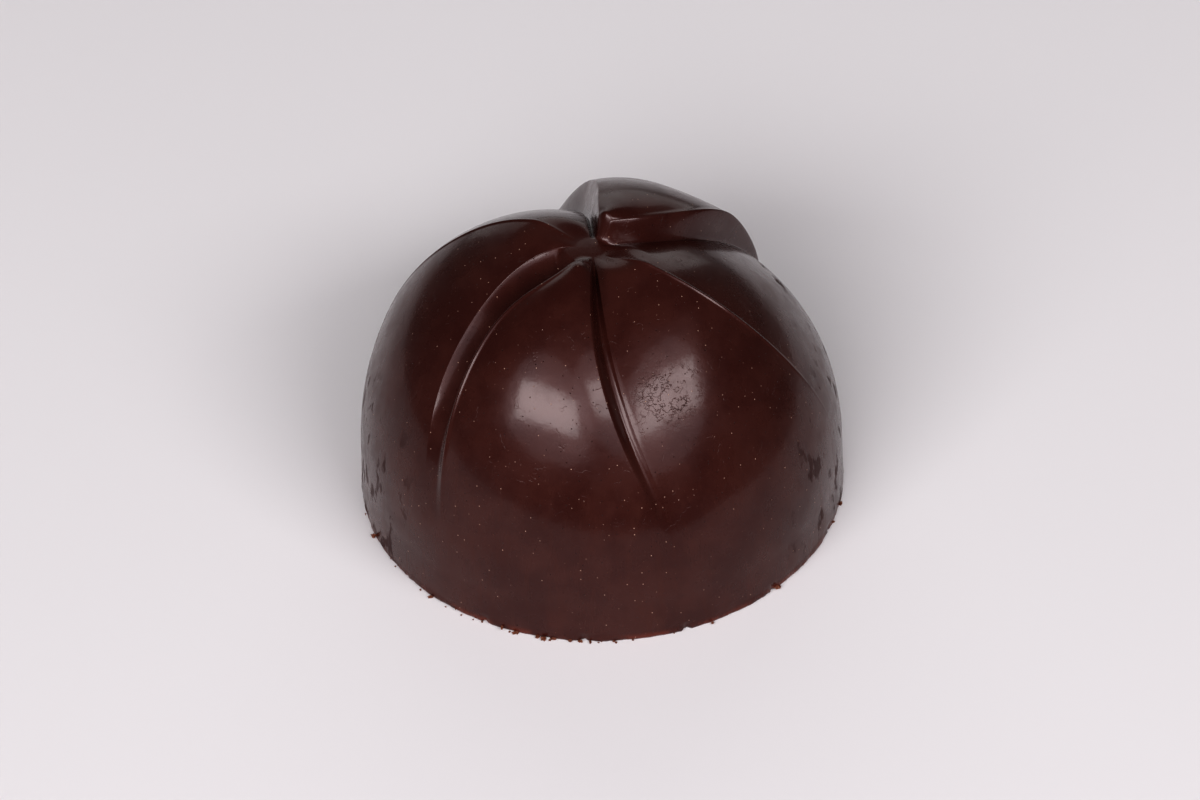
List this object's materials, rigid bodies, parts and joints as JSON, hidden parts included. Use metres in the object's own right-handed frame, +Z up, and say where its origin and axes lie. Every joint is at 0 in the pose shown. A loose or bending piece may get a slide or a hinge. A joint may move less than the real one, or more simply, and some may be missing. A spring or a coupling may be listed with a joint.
{
  "type": "chocolate praline",
  "caption": "Moulded dark chocolate praline, a round glossy dome on a short upright wall, its top swirled with raised lobes, valleys and fine keels, flat underneath.",
  "frame": {"origin": "centre of the flat underside, on the surface the praline rests on", "axes": "+Z up through the dome, -Y towards the side that is seen in the reference picture"},
  "size_m": [0.0302, 0.0302, 0.0202],
  "materials": {
    "dark_chocolate": null
  },
  "bodies": {
    "root": {"praline_body": "dark_chocolate"}
  },
  "joints": []
}
